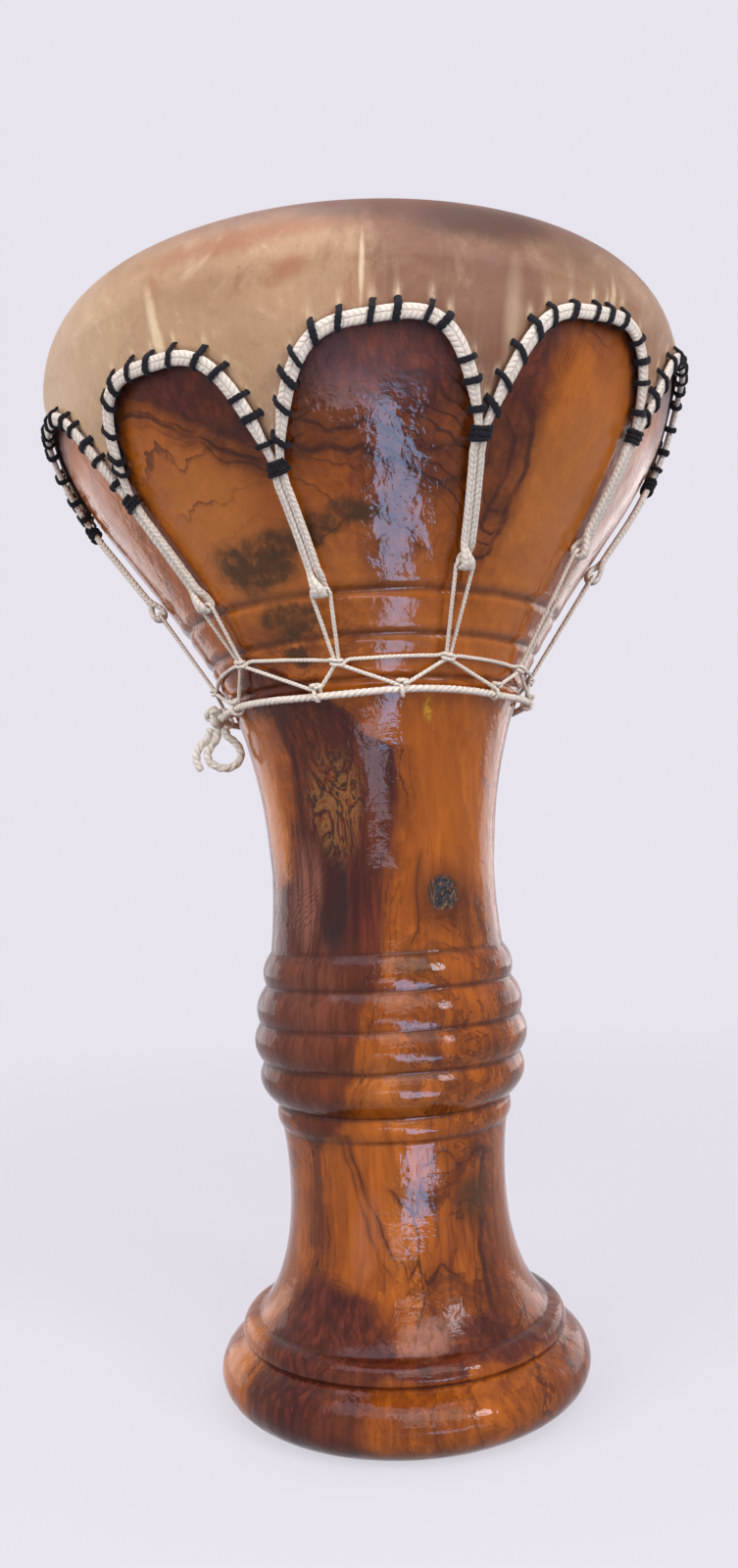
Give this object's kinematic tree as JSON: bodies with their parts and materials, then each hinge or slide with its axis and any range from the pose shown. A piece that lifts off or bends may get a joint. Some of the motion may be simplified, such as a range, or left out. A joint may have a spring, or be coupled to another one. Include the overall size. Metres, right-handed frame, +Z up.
{
  "type": "goblet drum",
  "caption": "Goblet drum with a turned wooden shell and foot, a laced skin head with a scalloped, cord-sewn skirt, and a knotted ring cord with a hanging loop.",
  "frame": {"origin": "centre of the foot's underside, on the surface that the drum stands on", "axes": "+Z up along the drum's axis from the foot to the playing head; -Y is the front that faces the viewer; +X is the viewer's right"},
  "size_m": [0.2524, 0.2522, 0.4],
  "materials": {
    "wood": "varnished, glossy, strongly figured olive wood",
    "skin": "stretched goatskin, satin, mottled",
    "cotton": "braided and twisted off-white cotton cord",
    "yarn": "black wool yarn, matt"
  },
  "bodies": {
    "drum": {"shell": "wood", "drumhead": "skin", "edge_cord": "cotton", "stitch_01": "yarn", "stitch_02": "yarn", "stitch_03": "yarn", "stitch_04": "yarn", "stitch_05": "yarn", "stitch_06": "yarn", "stitch_07": "yarn", "stitch_08": "yarn", "stitch_09": "yarn", "stitch_10": "yarn", "binding_01": "yarn", "binding_02": "yarn", "binding_03": "yarn", "binding_04": "yarn", "binding_05": "yarn", "binding_06": "yarn", "binding_07": "yarn", "binding_08": "yarn", "binding_09": "yarn", "binding_10": "yarn", "lacing_cord": "cotton", "cross_cord": "cotton", "ring_cord": "cotton", "tie_knot": "cotton"},
    "tie_bow": {"tie_loop": "cotton", "tie_end": "cotton"}
  },
  "joints": [
    {"name": "tie_swing", "type": "hinge", "parent": "drum", "child": "tie_bow", "pos_m": [-0.06112, -0.01078, 0.24882], "axis": [-0.9848, -0.1736, 0], "range_deg": [-60, 60]}
  ]
}
